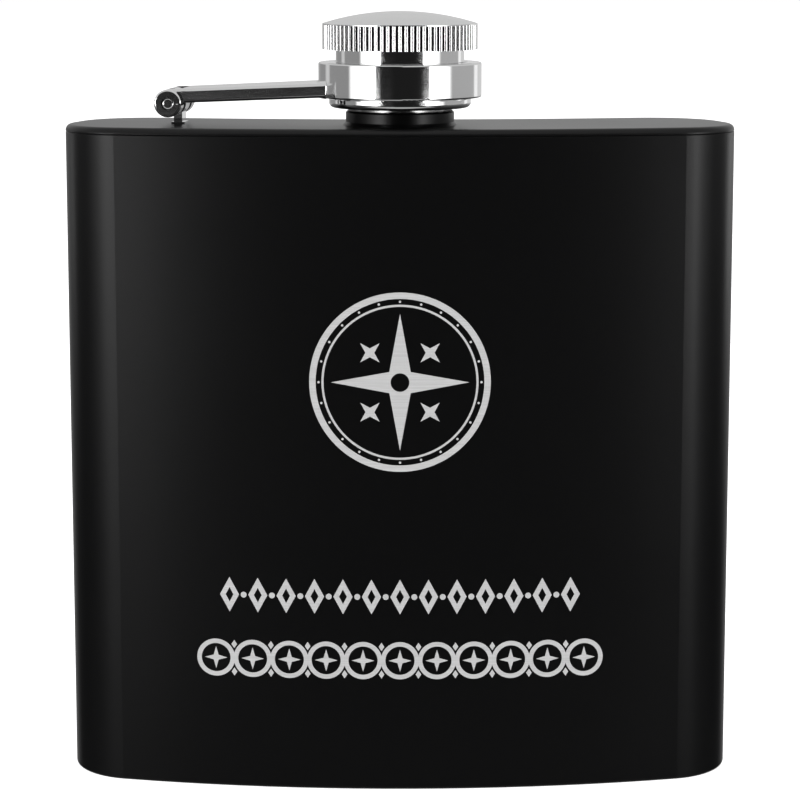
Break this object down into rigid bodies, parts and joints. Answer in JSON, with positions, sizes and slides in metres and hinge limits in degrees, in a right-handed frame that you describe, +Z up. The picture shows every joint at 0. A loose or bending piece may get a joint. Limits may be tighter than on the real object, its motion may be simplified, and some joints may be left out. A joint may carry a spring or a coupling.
{
  "type": "hip flask",
  "caption": "Curved matt black metal hip flask with a polished screw cap held by a ring on a hinged arm.",
  "frame": {"origin": "centre of the body's outline on the plane that the flask stands on", "axes": "+Z up along the neck, +X to the right (the hinge is at -X), -Y towards the convex front, +Y towards the hollow back"},
  "size_m": [0.095, 0.027, 0.1094],
  "materials": {
    "black_coat": "matt powder coat",
    "turned_steel": "turned",
    "polished_steel": "polished",
    "silicone": "smooth"
  },
  "bodies": {
    "flask": {"body_shell": "black_coat", "top_plate": "black_coat", "bottom_plate": "black_coat", "neck": "turned_steel", "neck_collar": "black_coat", "hinge_bracket": "polished_steel"},
    "pin": {"hinge_pin": "polished_steel"},
    "arm": {"swivel_ring": "polished_steel", "retaining_arm": "polished_steel"},
    "cap": {"cap_head": "polished_steel", "cap_insert": "polished_steel", "seal_washer": "silicone"}
  },
  "joints": [
    {"name": "arm_lift", "type": "hinge", "parent": "flask", "child": "pin", "pos_m": [-0.03206, 0.00103, 0.09655], "axis": [-0.0947, -0.9955, 0], "range_deg": [0, 4.45]},
    {"name": "arm_swing", "type": "hinge", "parent": "pin", "child": "arm", "pos_m": [-0.03206, 0.00103, 0.09655], "axis": [-0.0947, -0.9955, 0], "range_deg": [0, 173]},
    {"name": "cap_unscrew", "type": "hinge", "parent": "arm", "child": "cap", "pos_m": [0, -0.00202, 0.0994], "axis": [0, 0, 1], "range_deg": [0, 450]}
  ],
  "couplings": [
    {"joint": "cap_unscrew", "follows": "arm_lift", "ratio": 101.1}
  ]
}
